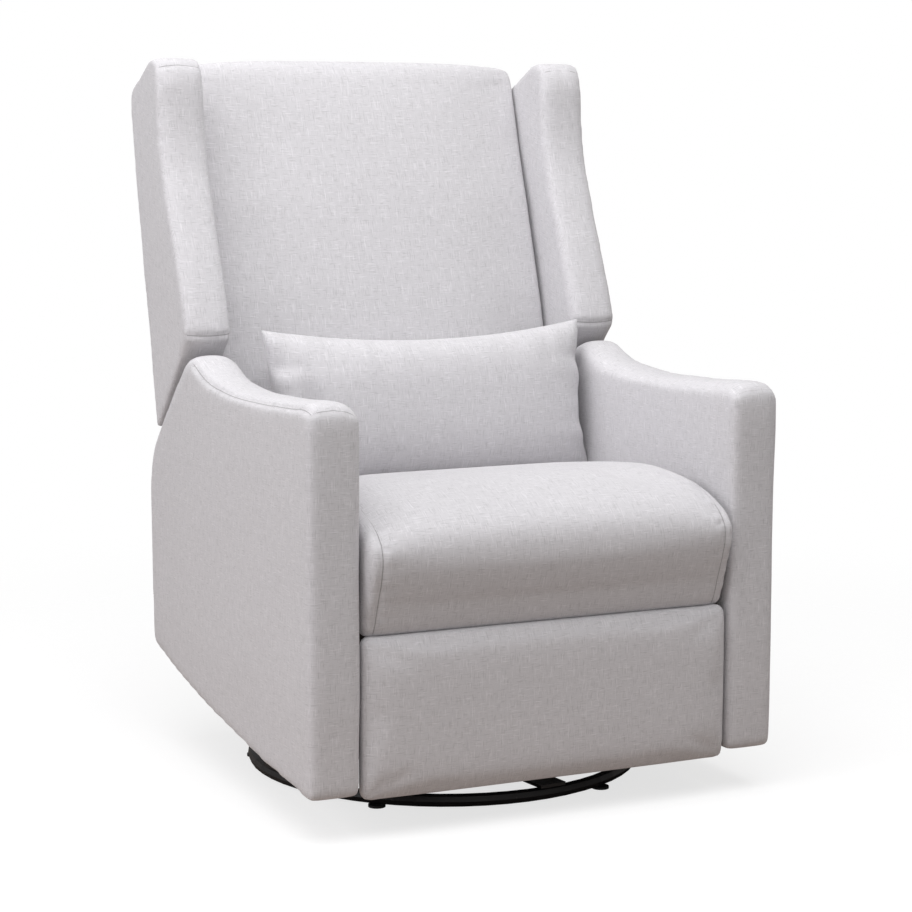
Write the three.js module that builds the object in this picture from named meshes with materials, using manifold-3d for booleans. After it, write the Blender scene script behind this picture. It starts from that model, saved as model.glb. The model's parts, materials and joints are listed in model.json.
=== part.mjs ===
// A swivel glider recliner for a nursery: wing back, S-curved arms, lift-out lumbar pillow, powered
// footrest and back, on a round steel base. Millimetres, +Z up. The sitter faces -Y.
// "Left" and "right" are as seen by a person who stands in front of the chair: left is -X.
// Inside the chair group, depth (y) is measured back from the front face of the arms.
import * as THREE from 'three';
import { mergeVertices } from 'three/addons/utils/BufferGeometryUtils.js';
import Module from 'manifold-3d';

const wasm = await Module();
wasm.setup();

// Driving dimensions
const WIDTH = 750;
const ARM_WIDTH = 78;
const SEAT_FRONT_Y = -12;
const BACK_REAR_Y = 773;
const GAP = 0.3;
const CUSHION_GAP = 3.5;

const SWIVEL_Y = 372;
const RING_RADIUS = 298;
const RING_TUBE = 10;
const RING_Z = 14;
const CROSSBAR_TURN = 7;
const CROSSBAR_WIDTH = 44;
const BAR_THICKNESS = 5;
const FOOT_COUNT = 5;
const FOOT_FIRST_ANGLE = -62;

const STAND_X = 200;
const LINK_X = 206.5;
const SIDE_PLATE_X = 212;
const SHEET = 4;
const LINK_SHEET = 3;
const GLIDE_TOP_Z = 215;
const GLIDE_LINK_LENGTH = 120;
const GLIDE_PIVOTS_Y = [SWIVEL_Y - 90, SWIVEL_Y + 90];
const PIN_RADIUS = 5;
const SMALL_PIN_RADIUS = 4;
const PIN_PLAY = 0.3;

const FOOTREST_PIVOT = [120, 258];
const GUIDE_PIVOT = [88, 277];
const FOOTREST_LINK = 200;
const ARM_ANGLE = -56.26;
const FRONT_ANGLE = 158.49;
const GUIDE_ANGLE = -58.5;
const GUIDE_LENGTH = 198;
const GUIDE_JOIN = 45;
const CONTROL_ANGLE = 155.87;
const CONTROL_LENGTH = 183.5;
const CONTROL_ALONG = 195.4;
const CONTROL_OUT = 25;
const BRACKET_PIN = [36.8, 20];
const DRIVE_TUBE_RADIUS = 10;
const CRANK_RADIUS = 45;
const CRANK_ANGLE = -34;
const TRACK_Z = 225;
const SCREW_RADIUS = 10;

const CROSS_TUBE_Z = 311;
const CROSS_TUBES_Y = [200, 530];
const RAIL_LOW_Z = 291.4;
const RAIL_HIGH_Z = 330;
const RAIL_THICKNESS = 24;
const RAIL_FRONT_Y = 14;
const RAIL_SET_IN = 9;

const BACK_PIVOT = [560, 300];
const BACK_HEEL = [650, 513];
const BACK_ANGLE = 13.39;
const BACK_BOARD = [14, 38];

const INNER_X = WIDTH / 2 - ARM_WIDTH;
const SOFT_X = INNER_X - CUSHION_GAP;

// Finishes
const finish = (color, roughness, metalness) =>
  () => new THREE.MeshStandardMaterial({ color, roughness, metalness });
const fabric = finish(0xd9d5d8, 0.95, 0);
const blackSteel = finish(0x17181a, 0.45, 0.8);
const zincSteel = finish(0x9a9da1, 0.4, 0.9);
const timber = finish(0xc49a63, 0.75, 0);
const blackPlastic = finish(0x1d1e20, 0.5, 0);

const chair = new THREE.Group();

function addPart(name, geometry, makeMaterial) {
  const mesh = new THREE.Mesh(geometry, makeMaterial());
  mesh.name = name;
  chair.add(mesh);
}

// Closed solids, joined and cut
function toSolid(geometry) {
  const bare = geometry.clone();
  bare.deleteAttribute('normal');
  bare.deleteAttribute('uv');
  const merged = mergeVertices(bare, 1e-3);
  return new wasm.Manifold(new wasm.Mesh({
    numProp: 3,
    vertProperties: merged.attributes.position.array,
    triVerts: new Uint32Array(merged.index.array),
  }));
}

function toGeometry(solid) {
  const mesh = solid.getMesh();
  const geometry = new THREE.BufferGeometry();
  geometry.setAttribute('position', new THREE.BufferAttribute(mesh.vertProperties, 3));
  geometry.setIndex(new THREE.BufferAttribute(mesh.triVerts, 1));
  return geometry;
}

const join = (geometries) => toGeometry(geometries.map(toSolid).reduce((a, b) => a.add(b)));
const cut = (geometry, tools) =>
  toGeometry(tools.map(toSolid).reduce((a, b) => a.subtract(b), toSolid(geometry)));

// A solid whose side outline is a shape drawn in (y, z), between two x values
function alongX(shape, xLow, xHigh, bevel = 0) {
  const geometry = new THREE.ExtrudeGeometry(shape, {
    depth: xHigh - xLow - 2 * bevel,
    curveSegments: bevel > 0 ? 6 : 4,
    bevelEnabled: bevel > 0,
    bevelSize: bevel,
    bevelThickness: bevel,
    bevelOffset: -bevel,
    bevelSegments: 2,
  });
  const turn = new THREE.Matrix4().makeBasis(
    new THREE.Vector3(0, 1, 0),
    new THREE.Vector3(0, 0, 1),
    new THREE.Vector3(1, 0, 0),
  );
  return geometry.applyMatrix4(turn).translate(xLow + bevel, 0, 0);
}

const polygon = (points) => new THREE.Shape(points.map(([y, z]) => new THREE.Vector2(y, z)));

function capsule([y0, z0], [y1, z1], radius) {
  const along = Math.atan2(z1 - z0, y1 - y0);
  const shape = new THREE.Shape();
  shape.absarc(y1, z1, radius, along - Math.PI / 2, along + Math.PI / 2);
  shape.absarc(y0, z0, radius, along + Math.PI / 2, along + 1.5 * Math.PI);
  return shape;
}

function block([x0, x1], [y0, y1], [z0, z1]) {
  const geometry = new THREE.BoxGeometry(x1 - x0, y1 - y0, z1 - z0);
  return geometry.translate((x0 + x1) / 2, (y0 + y1) / 2, (z0 + z1) / 2);
}

function rodX([x0, x1], [y, z], radius, sides = 14) {
  const geometry = new THREE.CylinderGeometry(radius, radius, x1 - x0, sides);
  return geometry.rotateZ(Math.PI / 2).translate((x0 + x1) / 2, y, z);
}

function discZ([x, y], [z0, z1], radius, sides = 32) {
  const geometry = new THREE.CylinderGeometry(radius, radius, z1 - z0, sides);
  return geometry.rotateX(Math.PI / 2).translate(x, y, (z0 + z1) / 2);
}

// A point at a distance and an angle (degrees) from another point of the side view
function polar([y, z], distance, degrees) {
  const angle = THREE.MathUtils.degToRad(degrees);
  return [y + distance * Math.cos(angle), z + distance * Math.sin(angle)];
}

// The same span of x on the left (side -1) or the right (side 1)
const onSide = (side, near, far) => (side > 0 ? [near, far] : [-far, -near]);
const SIDES = [['left', -1], ['right', 1]];

// Base: a round tube ring on five glides, two flat bars across it and the fixed half of the bearing
function addBase() {
  const ring = new THREE.TorusGeometry(RING_RADIUS, RING_TUBE, 8, 56);
  addPart('base_ring', ring.translate(0, SWIVEL_Y, RING_Z), blackSteel);
  for (let i = 0; i < FOOT_COUNT; i += 1) {
    const angle = THREE.MathUtils.degToRad(FOOT_FIRST_ANGLE + (360 / FOOT_COUNT) * i);
    const place = [RING_RADIUS * Math.cos(angle), SWIVEL_Y + RING_RADIUS * Math.sin(angle)];
    addPart(`floor_glide_${i + 1}`, discZ(place, [0, RING_Z - RING_TUBE - GAP], 13, 24), blackPlastic);
  }
  const barLow = RING_Z + RING_TUBE + GAP;
  const half = RING_RADIUS + RING_TUBE;
  const low = polygon([[-half, 0], [half, 0], [half, BAR_THICKNESS], [-half, BAR_THICKNESS]]);
  const rise = BAR_THICKNESS + GAP;
  const joggled = polygon([
    [-half, 0], [-150, 0], [-110, rise], [110, rise], [150, 0], [half, 0],
    [half, BAR_THICKNESS], [150, BAR_THICKNESS], [110, rise + BAR_THICKNESS],
    [-110, rise + BAR_THICKNESS], [-150, BAR_THICKNESS], [-half, BAR_THICKNESS],
  ]);
  const turn = THREE.MathUtils.degToRad(CROSSBAR_TURN);
  const bars = [['base_crossbar_fore_aft', low, turn], ['base_crossbar_side', joggled, turn + Math.PI / 2]];
  for (const [name, shape, angle] of bars) {
    const bar = alongX(shape, -CROSSBAR_WIDTH / 2, CROSSBAR_WIDTH / 2);
    addPart(name, bar.rotateZ(angle).translate(0, SWIVEL_Y, barLow), blackSteel);
  }
  const plateLow = barLow + 2 * rise;
  const centre = [0, SWIVEL_Y];
  const plate = discZ(centre, [plateLow, plateLow + 4], 70);
  const spindle = discZ(centre, [plateLow, plateLow + 24], 8, 24);
  addPart('lower_bearing_plate', join([plate, spindle]), zincSteel);
  const race = discZ(centre, [plateLow + 4 + GAP, plateLow + 11], 58);
  addPart('bearing_race', cut(race, [discZ(centre, [plateLow, plateLow + 20], 34)]), zincSteel);
  return plateLow + 11 + GAP;
}

// Swivel frame: a plate on the bearing and two upright sides that carry the upper glide pivots
function addSwivelFrame(plateLow) {
  const plateHigh = plateLow + SHEET;
  const plate = block([-STAND_X - SHEET, STAND_X + SHEET], [SWIVEL_Y - 85, SWIVEL_Y + 85], [plateLow, plateHigh]);
  const spindleHole = discZ([0, SWIVEL_Y], [plateLow - 5, plateHigh + 5], 8.3, 24);
  addPart('swivel_plate', cut(plate, [spindleHole]), blackSteel);
  for (const [name, side] of SIDES) {
    const [front, rear] = GLIDE_PIVOTS_Y;
    const foot = plateHigh + GAP;
    const outline = polygon([
      [SWIVEL_Y - 80, foot], [SWIVEL_Y + 80, foot], [SWIVEL_Y + 70, foot + 40], [rear + 16, GLIDE_TOP_Z - 14],
      [rear + 16, GLIDE_TOP_Z + 16], [front - 16, GLIDE_TOP_Z + 16], [front - 16, GLIDE_TOP_Z - 14],
      [SWIVEL_Y - 70, foot + 40],
    ]);
    const sheet = alongX(outline, ...onSide(side, STAND_X, STAND_X + SHEET));
    const pins = [front, rear].map((y) =>
      rodX(onSide(side, STAND_X + 1, LINK_X + LINK_SHEET + 1), [y, GLIDE_TOP_Z], PIN_RADIUS));
    addPart(`stand_side_${name}`, join([sheet, ...pins]), blackSteel);
  }
}

// Four equal swing links: the chair hangs from them, so it always settles in the middle
function addGlideLinks() {
  const ends = ['front', 'rear'];
  for (const [name, side] of SIDES) {
    GLIDE_PIVOTS_Y.forEach((y, i) => {
      const top = [y, GLIDE_TOP_Z];
      const bottom = [y, GLIDE_TOP_Z - GLIDE_LINK_LENGTH];
      const bar = alongX(capsule(top, bottom, 14), ...onSide(side, LINK_X, LINK_X + LINK_SHEET));
      const reach = onSide(side, LINK_X - 5, LINK_X + 10);
      const holes = [top, bottom].map((pivot) => rodX(reach, pivot, PIN_RADIUS + PIN_PLAY));
      addPart(`glide_link_${ends[i]}_${name}`, cut(bar, holes), zincSteel);
    });
  }
}

// Side plates: steel sheets under the seat that carry the glide, footrest and back pivots
function addSidePlates() {
  const low = GLIDE_TOP_Z - GLIDE_LINK_LENGTH;
  const [front, rear] = GLIDE_PIVOTS_Y;
  const outline = polygon([
    [front - 16, low - 14], [rear + 16, low - 14], [rear + 20, low + 30], [590, 250], [598, 280], [582, 318],
    [560, 325], [185, 325], [165, 290], [76, 289], [74, 262], [104, 240], [200, 225], [front - 20, low + 30],
  ]);
  for (const [name, side] of SIDES) {
    const sheet = alongX(outline, ...onSide(side, SIDE_PLATE_X, SIDE_PLATE_X + SHEET));
    const glidePins = [front, rear].map((y) =>
      rodX(onSide(side, LINK_X - 1, SIDE_PLATE_X + 1), [y, low], PIN_RADIUS));
    const guidePin = rodX(onSide(side, SIDE_PLATE_X + 1, 241), GUIDE_PIVOT, PIN_RADIUS);
    const backPin = rodX(onSide(side, SIDE_PLATE_X + 1, 223), BACK_PIVOT, PIN_RADIUS);
    const reach = onSide(side, SIDE_PLATE_X - 5, SIDE_PLATE_X + 10);
    const tubeHoles = CROSS_TUBES_Y.map((y) => rodX(reach, [y, CROSS_TUBE_Z], 10 + GAP));
    const driveHole = rodX(reach, FOOTREST_PIVOT, DRIVE_TUBE_RADIUS + GAP);
    const plate = join([sheet, ...glidePins, guidePin, backPin]);
    addPart(`side_plate_${name}`, cut(plate, [...tubeHoles, driveHole]), blackSteel);
  }
}

// Seat box: timber rails on two steel cross tubes, with a unit of zigzag springs
function addSeatBox() {
  const [frontTube, rearTube] = CROSS_TUBES_Y;
  const outer = INNER_X - 5;
  addPart('cross_tube_front', rodX([-outer, outer], [frontTube, CROSS_TUBE_Z], 10), blackSteel);
  addPart('cross_tube_rear', rodX([-outer, outer], [rearTube, CROSS_TUBE_Z], 10), blackSteel);
  const railSpan = [-outer + RAIL_SET_IN, outer - RAIL_SET_IN];
  const railZ = [RAIL_LOW_Z + RAIL_SET_IN, RAIL_HIGH_Z];
  addPart('seat_front_rail', block(railSpan, [RAIL_FRONT_Y, RAIL_FRONT_Y + RAIL_THICKNESS], railZ), timber);
  addPart('seat_rear_rail', block([-outer, outer], [600, 600 + RAIL_THICKNESS], [250, RAIL_LOW_Z - GAP]), timber);
  for (const [name, side] of SIDES) {
    const span = onSide(side, outer - RAIL_THICKNESS, outer);
    const railFront = RAIL_FRONT_Y + RAIL_THICKNESS + GAP;
    const profile = polygon([
      [railFront, RAIL_LOW_Z], [640, RAIL_LOW_Z], [640, RAIL_LOW_Z + 8.6], [588, RAIL_LOW_Z + 8.6],
      [588, RAIL_HIGH_Z], [railFront, RAIL_HIGH_Z],
    ]);
    const rail = alongX(profile, ...span);
    const holes = CROSS_TUBES_Y.map((y) =>
      rodX(onSide(side, outer - 40, outer + 5), [y, CROSS_TUBE_Z], 10 + GAP));
    addPart(`seat_side_rail_${name}`, cut(rail, holes), timber);
  }
  addPart('seat_spring_unit', springUnit(), zincSteel);
}

function springUnit() {
  const wire = polygon([[2, 0], [0, 2], [-2, 0], [0, -2]]);
  const z = 326.5;
  const start = 44;
  const end = 512;
  const waves = 10;
  const along = (path, steps) =>
    new THREE.ExtrudeGeometry(wire, { steps, bevelEnabled: false, extrudePath: path });
  const springs = [-150, -50, 50, 150].map((x) => {
    const points = [];
    for (let i = 0; i <= waves * 2; i += 1) {
      const y = THREE.MathUtils.lerp(start, end, i / (waves * 2));
      points.push(new THREE.Vector3(x + (i % 2 ? 18 : -18), y, z));
    }
    return along(new THREE.CatmullRomCurve3(points, false, 'catmullrom', 0.9), waves * 4);
  });
  const borders = [start, end].map((y) =>
    along(new THREE.LineCurve3(new THREE.Vector3(-190, y, z), new THREE.Vector3(190, y, z)), 1));
  return join([...springs, ...borders]);
}

// Seat cushion: one deep block with a waterfall front that hangs down over the front rail
function addSeatCushion() {
  const shape = new THREE.Shape();
  shape.moveTo(2, 290);
  shape.bezierCurveTo(-8, 330, SEAT_FRONT_Y, 380, SEAT_FRONT_Y, 425);
  shape.bezierCurveTo(SEAT_FRONT_Y, 465, 6, 482, 60, 486);
  shape.lineTo(160, 487);
  shape.lineTo(500, 448);
  shape.quadraticCurveTo(522, 446, 522, 428);
  shape.lineTo(522, 290);
  shape.closePath();
  const frameSpace = block([-WIDTH, WIDTH], [13, 600], [200, RAIL_HIGH_Z + 3]);
  addPart('seat_cushion', cut(alongX(shape, -SOFT_X, SOFT_X, 6), [frameSpace]), fabric);
}

// Arms: a plywood side board inside a padded, upholstered shell that is open underneath
function armOutline() {
  const shape = new THREE.Shape();
  shape.moveTo(14, 64);
  shape.quadraticCurveTo(380, 84, 674, 152);
  shape.quadraticCurveTo(690, 156, 691, 172);
  shape.lineTo(696, 370);
  shape.bezierCurveTo(697, 440, 690, 474, 646, 513);
  shape.lineTo(530, 616);
  shape.quadraticCurveTo(505, 640, 484, 635);
  shape.bezierCurveTo(450, 622, 430, 610, 360, 606);
  shape.bezierCurveTo(280, 599, 180, 603, 40, 613);
  shape.quadraticCurveTo(0, 614, 0, 590);
  shape.lineTo(0, 78);
  shape.quadraticCurveTo(0, 64, 14, 64);
  return shape;
}

function armBoardOutline(grow, floor) {
  return polygon([
    [28 - grow, floor(28)], [28 - grow, 580 + grow], [430, 582 + grow], [480, 604 + grow],
    [500 + grow, 600 + grow], [655 + grow, 470 + grow], [664 + grow, 380], [664 + grow, floor(664)],
  ]);
}

function addArms() {
  const board = 18;
  const pocket = board + 6;
  const middle = WIDTH / 2 - ARM_WIDTH / 2;
  for (const [name, side] of SIDES) {
    const shell = alongX(armOutline(), ...onSide(side, INNER_X, WIDTH / 2), 8);
    const pocketShape = armBoardOutline(2, () => 0);
    const tools = [alongX(pocketShape, ...onSide(side, middle - pocket / 2, middle + pocket / 2))];
    if (side < 0) {
      tools.push(block([-INNER_X - 2.5, -INNER_X + 10], [118, 182], [508, 572]));
      tools.push(block([-INNER_X - 8, -INNER_X], [132, 168], [515, 565]));
    }
    addPart(`arm_${name}`, cut(shell, tools), fabric);
    const boardShape = armBoardOutline(0, (y) => 84 + 0.13 * y);
    const span = onSide(side, middle - board / 2, middle + board / 2);
    addPart(`arm_board_${name}`, alongX(boardShape, ...span), timber);
  }
}

// Control plate in the inner face of the left arm, with one button to open and one to close
function addControls() {
  const face = -INNER_X + 1.5;
  const plate = block([-INNER_X - 2.2, face], [119, 181], [509, 571]);
  const buttonPlaces = [['button_open', 556], ['button_close', 524]];
  const holes = buttonPlaces.map(([, z]) => rodX([-INNER_X - 10, face + 5], [150, z], 9.5, 28));
  addPart('control_plate', cut(plate, holes), blackPlastic);
  for (const [name, z] of buttonPlaces) {
    addPart(name, rodX([-INNER_X - 4.5, face + 3], [150, z], 9, 28), zincSteel);
  }
}

// Rear apron between the arms, with the inlet for the power lead
function addRearPanel() {
  const panel = block([-SOFT_X, SOFT_X], [676, 688], [162, 320]);
  const hole = block([-212, -188], [670, 695], [182, 202]);
  addPart('rear_panel', cut(panel, [hole]), fabric);
  const flange = block([-218, -182], [688.3, 691], [176, 208]);
  const body = block([-211.5, -188.5], [660, 689], [182.5, 201.5]);
  const socket = new THREE.CylinderGeometry(5, 5, 24, 24).translate(-200, 684, 192);
  addPart('power_inlet', cut(join([flange, body]), [socket]), blackPlastic);
}

// Footrest linkage on one side: swing arm, guide link, front link, control link and panel bracket
function addFootrestSide(name, side) {
  const elbow = polar(FOOTREST_PIVOT, FOOTREST_LINK, ARM_ANGLE);
  const panelPivot = polar(elbow, FOOTREST_LINK, FRONT_ANGLE);
  const guideEnd = polar(elbow, GUIDE_JOIN, FRONT_ANGLE);
  const controlPivot = polar(polar(FOOTREST_PIVOT, CONTROL_ALONG, ARM_ANGLE), CONTROL_OUT, ARM_ANGLE + 90);
  const bracketPin = [panelPivot[0] + BRACKET_PIN[0], panelPivot[1] + BRACKET_PIN[1]];
  const layer = (index) => onSide(side, 219 + 6 * index, 222 + 6 * index);
  const pin = (from, to, place, radius) => rodX(onSide(side, 219 + from, 219 + to), place, radius);
  const hole = (place, radius) => pin(-2, 25, place, radius);
  const pivotHole = PIN_RADIUS + PIN_PLAY;

  const swing = join([
    alongX(capsule(FOOTREST_PIVOT, elbow, 13), ...layer(1)),
    alongX(capsule(elbow, controlPivot, 9), ...layer(1)),
    rodX(layer(1), FOOTREST_PIVOT, 17, 28),
    pin(8, 16, elbow, PIN_RADIUS),
    pin(-1, 7, controlPivot, SMALL_PIN_RADIUS),
  ]);
  addPart(`footrest_swing_arm_${name}`, cut(swing, [hole(FOOTREST_PIVOT, DRIVE_TUBE_RADIUS + GAP)]), zincSteel);

  const front = join([
    alongX(capsule(elbow, panelPivot, 11), ...layer(2)),
    pin(14, 22, guideEnd, SMALL_PIN_RADIUS),
  ]);
  const frontHoles = [hole(elbow, pivotHole), hole(panelPivot, pivotHole)];
  addPart(`footrest_front_link_${name}`, cut(front, frontHoles), zincSteel);

  const guideTip = polar(GUIDE_PIVOT, GUIDE_LENGTH, GUIDE_ANGLE);
  const guide = alongX(capsule(GUIDE_PIVOT, guideTip, 11.5), ...layer(3));
  const guideHoles = [hole(GUIDE_PIVOT, pivotHole), hole(guideTip, SMALL_PIN_RADIUS + 4.2)];
  addPart(`footrest_guide_link_${name}`, cut(guide, guideHoles), zincSteel);

  const controlTip = polar(controlPivot, CONTROL_LENGTH, CONTROL_ANGLE);
  const control = alongX(capsule(controlPivot, controlTip, 9), ...layer(0));
  const controlHoles = [hole(controlPivot, SMALL_PIN_RADIUS + PIN_PLAY), hole(controlTip, SMALL_PIN_RADIUS + 1.5)];
  addPart(`footrest_control_link_${name}`, cut(control, controlHoles), zincSteel);

  const [py, pz] = panelPivot;
  const bracketShape = polygon([
    [31, pz - 40], [38, pz - 40], [py + 10, pz - 12], [bracketPin[0] + 9, bracketPin[1] - 9],
    [bracketPin[0] + 9, bracketPin[1] + 9], [38, pz + 45], [31, pz + 45],
  ]);
  const flange = block(onSide(side, 210, 228), [30.8, 33.3], [pz - 40, pz + 45]);
  const bracket = join([
    alongX(bracketShape, ...layer(1)),
    flange,
    pin(8, 16, panelPivot, PIN_RADIUS),
    pin(-1, 7, bracketPin, SMALL_PIN_RADIUS),
  ]);
  addPart(`footrest_bracket_${name}`, bracket, zincSteel);
}

// Footrest: plywood board with a padded face, the linkages and the tube that drives both of them
function addFootrest() {
  for (const [name, side] of SIDES) addFootrestSide(name, side);
  const half = 291;
  addPart('footrest_board', block([-half + 14, half - 14], [18, 30], [68, 273]), timber);
  const padOutline = polygon([[-8, 56], [30, 56], [30, 285], [-8, 285]]);
  const pad = alongX(padOutline, -half, half, 8);
  const pocket = block([-half + 12, half - 12], [17.5, 40], [66, 275]);
  addPart('footrest_pad', cut(pad, [pocket]), fabric);
  const tube = rodX([-229, 229], FOOTREST_PIVOT, DRIVE_TUBE_RADIUS, 24);
  const crankPin = polar(FOOTREST_PIVOT, CRANK_RADIUS, CRANK_ANGLE);
  const crank = alongX(capsule(FOOTREST_PIVOT, crankPin, 12), 12, 17);
  const stud = rodX([16, 27], crankPin, SMALL_PIN_RADIUS);
  addPart('drive_tube', join([tube, crank, stud]), zincSteel);
  return crankPin;
}

// Linear actuator: motor and gear housing, screw tube, and the nut whose slotted plate turns the crank
function addActuator([crankY, crankZ]) {
  const motor = join([
    block([-38, 38], [402, 470], [TRACK_Z - 45, TRACK_Z + 35]),
    rodX([-36, 36], [470, TRACK_Z], 33, 32),
  ]);
  addPart('actuator_motor', motor, blackPlastic);
  const screwTube = new THREE.CylinderGeometry(SCREW_RADIUS, SCREW_RADIUS, 301.5, 24);
  screwTube.translate(0, 250.75, TRACK_Z);
  addPart('actuator_screw_tube', screwTube, blackSteel);
  const nutY = crankY + 70;
  const body = block([-20, 24], [nutY - 20, nutY + 20], [TRACK_Z - 20, TRACK_Z + 20]);
  const plateShape = polygon([
    [crankY - 16, crankZ - 42], [crankY + 16, crankZ - 42], [nutY + 10, TRACK_Z - 20], [nutY + 10, TRACK_Z + 20],
    [crankY + 16, crankZ + 11], [crankY - 16, crankZ + 11],
  ]);
  const plate = alongX(plateShape, 20, 24);
  const slot = alongX(capsule([crankY, crankZ - 30], [crankY, crankZ - 2], 8), 15, 30);
  const bore = new THREE.CylinderGeometry(SCREW_RADIUS + GAP, SCREW_RADIUS + GAP, 60, 24).translate(0, nutY, TRACK_Z);
  addPart('actuator_nut', cut(join([body, plate]), [slot, bore]), zincSteel);
}

// A point of the back: up along its rear face from the heel, and forward from that face
function backPoint(up, forward) {
  const lean = THREE.MathUtils.degToRad(BACK_ANGLE);
  return [
    BACK_HEEL[0] + up * Math.sin(lean) - forward * Math.cos(lean),
    BACK_HEEL[1] + up * Math.cos(lean) + forward * Math.sin(lean),
  ];
}

const backShape = (points) => polygon(points.map(([up, forward]) => backPoint(up, forward)));

// Wings: padded cheeks with an S-curved front edge, cut away underneath to clear the arms
function wingOutline() {
  const shape = new THREE.Shape();
  shape.moveTo(651, 514);
  shape.lineTo(...backPoint(515, 0));
  shape.quadraticCurveTo(774, 1046, 744, 1056);
  shape.lineTo(668, 1092);
  shape.bezierCurveTo(642, 1102, 624, 1084, 620, 1050);
  shape.bezierCurveTo(616, 960, 606, 935, 572, 858);
  shape.bezierCurveTo(545, 800, 520, 735, 503, 690);
  shape.quadraticCurveTo(500, 680, 508, 672);
  shape.closePath();
  return shape;
}

// Back: plywood board, deep front cushion, rear cover, two wings and two pivot brackets
function addBack() {
  const [boardRear, boardFront] = BACK_BOARD;
  for (const [name, side] of SIDES) {
    addPart(`wing_${name}`, alongX(wingOutline(), ...onSide(side, INNER_X, WIDTH / 2), 7), fabric);
    const corners = [backPoint(-172, boardFront + 1), backPoint(-92, boardFront + 1), backPoint(-100, 70)];
    const [pivotY, pivotZ] = BACK_PIVOT;
    const sheet = polygon([
      ...corners,
      [pivotY - 17, pivotZ],
      [pivotY, pivotZ - 12],
    ].reverse());
    const span = onSide(side, 219, 222);
    const eye = rodX(span, BACK_PIVOT, 17, 28);
    const hole = rodX(onSide(side, 215, 226), BACK_PIVOT, PIN_RADIUS + PIN_PLAY);
    addPart(`back_bracket_${name}`, cut(join([alongX(sheet, ...span), eye]), [hole]), zincSteel);
  }
  const boardTop = 520;
  const board = backShape([
    [-178, boardRear], [-178, boardFront], [boardTop, boardFront], [boardTop, boardRear],
  ]);
  addPart('back_board', alongX(board, -270, 270), timber);
  const cushion = backShape([
    [boardTop + 1, boardFront + GAP], [boardTop + 1, 0], [548, 4], [572, 20], [584, 42], [580, 56],
    [565, 66], [500, 78], [347, 100], [180, 115], [60, 119], [-60, 116], [-92, 92],
    [-88, boardFront + GAP],
  ]);
  addPart('back_cushion', alongX(cushion, -SOFT_X, SOFT_X, 5), fabric);
  const cover = backShape([
    [-178, 0], [-178, boardRear - GAP],
    [boardTop, boardRear - GAP], [boardTop, 0],
  ]);
  addPart('back_rear_cover', alongX(cover, -SOFT_X, SOFT_X, 3), fabric);
}

// Lumbar pillow: knife-edged and loose, standing on the seat against the back
function addPillow() {
  const half = 272;
  const lean = THREE.MathUtils.degToRad(10);
  const shape = new THREE.Shape();
  shape.moveTo(0, 0);
  shape.quadraticCurveTo(66, 30, 64, 114);
  shape.quadraticCurveTo(60, 200, 0, 228);
  shape.quadraticCurveTo(-62, 196, -66, 112);
  shape.quadraticCurveTo(-62, 30, 0, 0);
  const pillow = alongX(shape, -half, half, 24);
  addPart('lumbar_pillow', pillow.rotateX(-lean).translate(12, 452, 457), fabric);
}

addSwivelFrame(addBase());
addGlideLinks();
addSidePlates();
addSeatBox();
addSeatCushion();
addArms();
addControls();
addRearPanel();
addActuator(addFootrest());
addBack();
addPillow();

// The origin is on the floor, under the middle of the chair
chair.position.y = -(SEAT_FRONT_Y + BACK_REAR_Y) / 2;
const part = new THREE.Group();
part.add(chair);

export default part;
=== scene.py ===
import json
import math

import bmesh
import bpy
import numpy as np
from mathutils import Matrix, Vector
from mathutils.kdtree import KDTree


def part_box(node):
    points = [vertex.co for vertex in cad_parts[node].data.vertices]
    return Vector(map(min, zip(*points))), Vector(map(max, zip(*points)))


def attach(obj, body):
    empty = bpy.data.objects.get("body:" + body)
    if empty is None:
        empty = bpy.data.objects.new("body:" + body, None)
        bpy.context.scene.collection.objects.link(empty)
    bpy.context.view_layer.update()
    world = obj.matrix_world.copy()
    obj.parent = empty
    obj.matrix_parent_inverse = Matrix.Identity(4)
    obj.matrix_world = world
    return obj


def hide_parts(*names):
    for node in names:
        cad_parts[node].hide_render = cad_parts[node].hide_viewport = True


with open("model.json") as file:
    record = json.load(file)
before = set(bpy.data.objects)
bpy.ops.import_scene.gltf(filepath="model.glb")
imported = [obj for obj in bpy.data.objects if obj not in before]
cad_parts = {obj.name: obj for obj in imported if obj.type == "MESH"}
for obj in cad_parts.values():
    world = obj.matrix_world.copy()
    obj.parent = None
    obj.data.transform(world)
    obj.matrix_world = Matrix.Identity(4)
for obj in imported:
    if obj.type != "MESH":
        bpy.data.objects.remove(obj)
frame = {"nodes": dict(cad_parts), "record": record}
scene = bpy.context.scene
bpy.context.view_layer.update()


# Camera: a long lens a little above seat height, turned to the sitter's right,
# so that the outside of one arm and the inside of the other both show.
VIEW_TURN = math.radians(-25.3)
VIEW_RISE = math.radians(7.9)
VIEW_ROLL = math.radians(0.2)
VIEW_DISTANCE = 3.8096
VIEW_AIM = Vector((0.0342, 0.0195, 0.4756))
camera_data = bpy.data.cameras.new("camera")
camera_data.lens = 95.5
camera_data.sensor_width = 36
camera = bpy.data.objects.new("camera", camera_data)
scene.collection.objects.link(camera)
backwards = Vector((
    math.sin(VIEW_TURN) * math.cos(VIEW_RISE),
    -math.cos(VIEW_TURN) * math.cos(VIEW_RISE),
    math.sin(VIEW_RISE),
))
turned = backwards.to_track_quat("Z", "Y").to_matrix().to_4x4()
camera.matrix_world = (
    Matrix.Translation(VIEW_AIM + backwards * VIEW_DISTANCE)
    @ turned
    @ Matrix.Rotation(VIEW_ROLL, 4, "Z")
)
scene.camera = camera


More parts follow.
